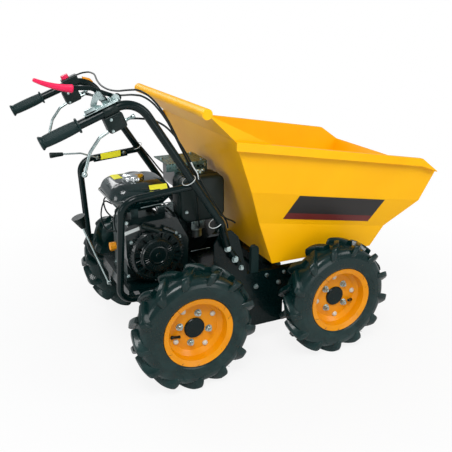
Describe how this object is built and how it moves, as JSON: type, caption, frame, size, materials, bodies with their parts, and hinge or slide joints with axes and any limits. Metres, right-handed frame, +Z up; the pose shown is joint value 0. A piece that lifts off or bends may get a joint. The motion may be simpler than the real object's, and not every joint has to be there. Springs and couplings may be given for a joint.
{
  "type": "walk-behind site dumper",
  "caption": "Walk-behind site dumper: four lugged wheels, forward-tipping yellow skip, petrol engine, twin handlebars with clutch levers.",
  "frame": {"origin": "on the ground, under the middle of the overall length and width", "axes": "+X forward to the skip's lip, +Y to the machine's left, +Z up"},
  "size_m": [1.3562, 0.735, 0.985],
  "materials": {
    "skip_paint": "powder coat, yellow-orange, semi gloss",
    "rim_paint": "enamel, orange, gloss",
    "frame_black": "powder coat, black, semi gloss",
    "tyre_rubber": "lugged black rubber",
    "grip_rubber": "moulded black rubber",
    "pad_rubber": "black rubber",
    "zinc": "zinc plated steel",
    "engine_black": "black engine enamel",
    "engine_cast": "sand cast aluminium",
    "black_plastic": "moulded black plastic",
    "chrome": "bright plating",
    "red_plastic": "red plastic",
    "pale_plastic": "pale plastic",
    "orange_plastic": "orange plastic",
    "cable_black": "black cable sheath"
  },
  "bodies": {
    "chassis": {"air_filter": "black_plastic", "belly_pan": "frame_black", "belt_cover": "engine_black", "carburettor": "zinc", "chain_cases": "frame_black", "chassis_frame": "frame_black", "choke_lever": "orange_plastic", "clutch_levers": "zinc", "control_cables": "cable_black", "engine_block": "engine_cast", "engine_deck": "frame_black", "fan_housing": "engine_black", "fuel_cap": "chrome", "fuel_tank": "engine_black", "gear_knob": "black_plastic", "gear_lever": "zinc", "gear_plate": "frame_black", "gearbox": "frame_black", "guard_loop_left": "frame_black", "guard_loop_right": "frame_black", "handle_grips": "grip_rubber", "handlebar_left": "frame_black", "handlebar_right": "frame_black", "hinge_pin": "zinc", "lever_bracket": "zinc", "lever_housings": "black_plastic", "muffler": "engine_black", "muffler_guard": "engine_black", "oil_cap": "orange_plastic", "rear_buffer": "pale_plastic", "recoil_cover": "engine_black", "release_grip": "red_plastic", "release_lever": "frame_black", "rest_pads": "pad_rubber", "stop_button": "red_plastic", "tall_lever": "zinc", "tall_lever_grip": "black_plastic", "throttle_control": "black_plastic"},
    "skip": {"skip_runners": "skip_paint", "skip_tub": "skip_paint"},
    "wheel_front_left": {"hub_front_left": "frame_black", "rim_front_left": "rim_paint", "tyre_front_left": "tyre_rubber"},
    "wheel_front_right": {"hub_front_right": "frame_black", "rim_front_right": "rim_paint", "tyre_front_right": "tyre_rubber"},
    "wheel_rear_left": {"hub_rear_left": "frame_black", "rim_rear_left": "rim_paint", "tyre_rear_left": "tyre_rubber"},
    "wheel_rear_right": {"hub_rear_right": "frame_black", "rim_rear_right": "rim_paint", "tyre_rear_right": "tyre_rubber"}
  },
  "joints": [
    {"name": "skip_tip", "type": "hinge", "parent": "chassis", "child": "skip", "pos_m": [0.3975, 0, 0.296], "axis": [0, 1, 0], "range_deg": [0, 75]},
    {"name": "wheel_front_left_spin", "type": "hinge", "parent": "chassis", "child": "wheel_front_left", "pos_m": [0.2625, 0.3185, 0.205], "axis": [0, 1, 0], "continuous": true},
    {"name": "wheel_front_right_spin", "type": "hinge", "parent": "chassis", "child": "wheel_front_right", "pos_m": [0.2625, -0.3185, 0.205], "axis": [0, 1, 0], "continuous": true},
    {"name": "wheel_rear_left_spin", "type": "hinge", "parent": "chassis", "child": "wheel_rear_left", "pos_m": [-0.2675, 0.3185, 0.205], "axis": [0, 1, 0], "continuous": true},
    {"name": "wheel_rear_right_spin", "type": "hinge", "parent": "chassis", "child": "wheel_rear_right", "pos_m": [-0.2675, -0.3185, 0.205], "axis": [0, 1, 0], "continuous": true}
  ]
}
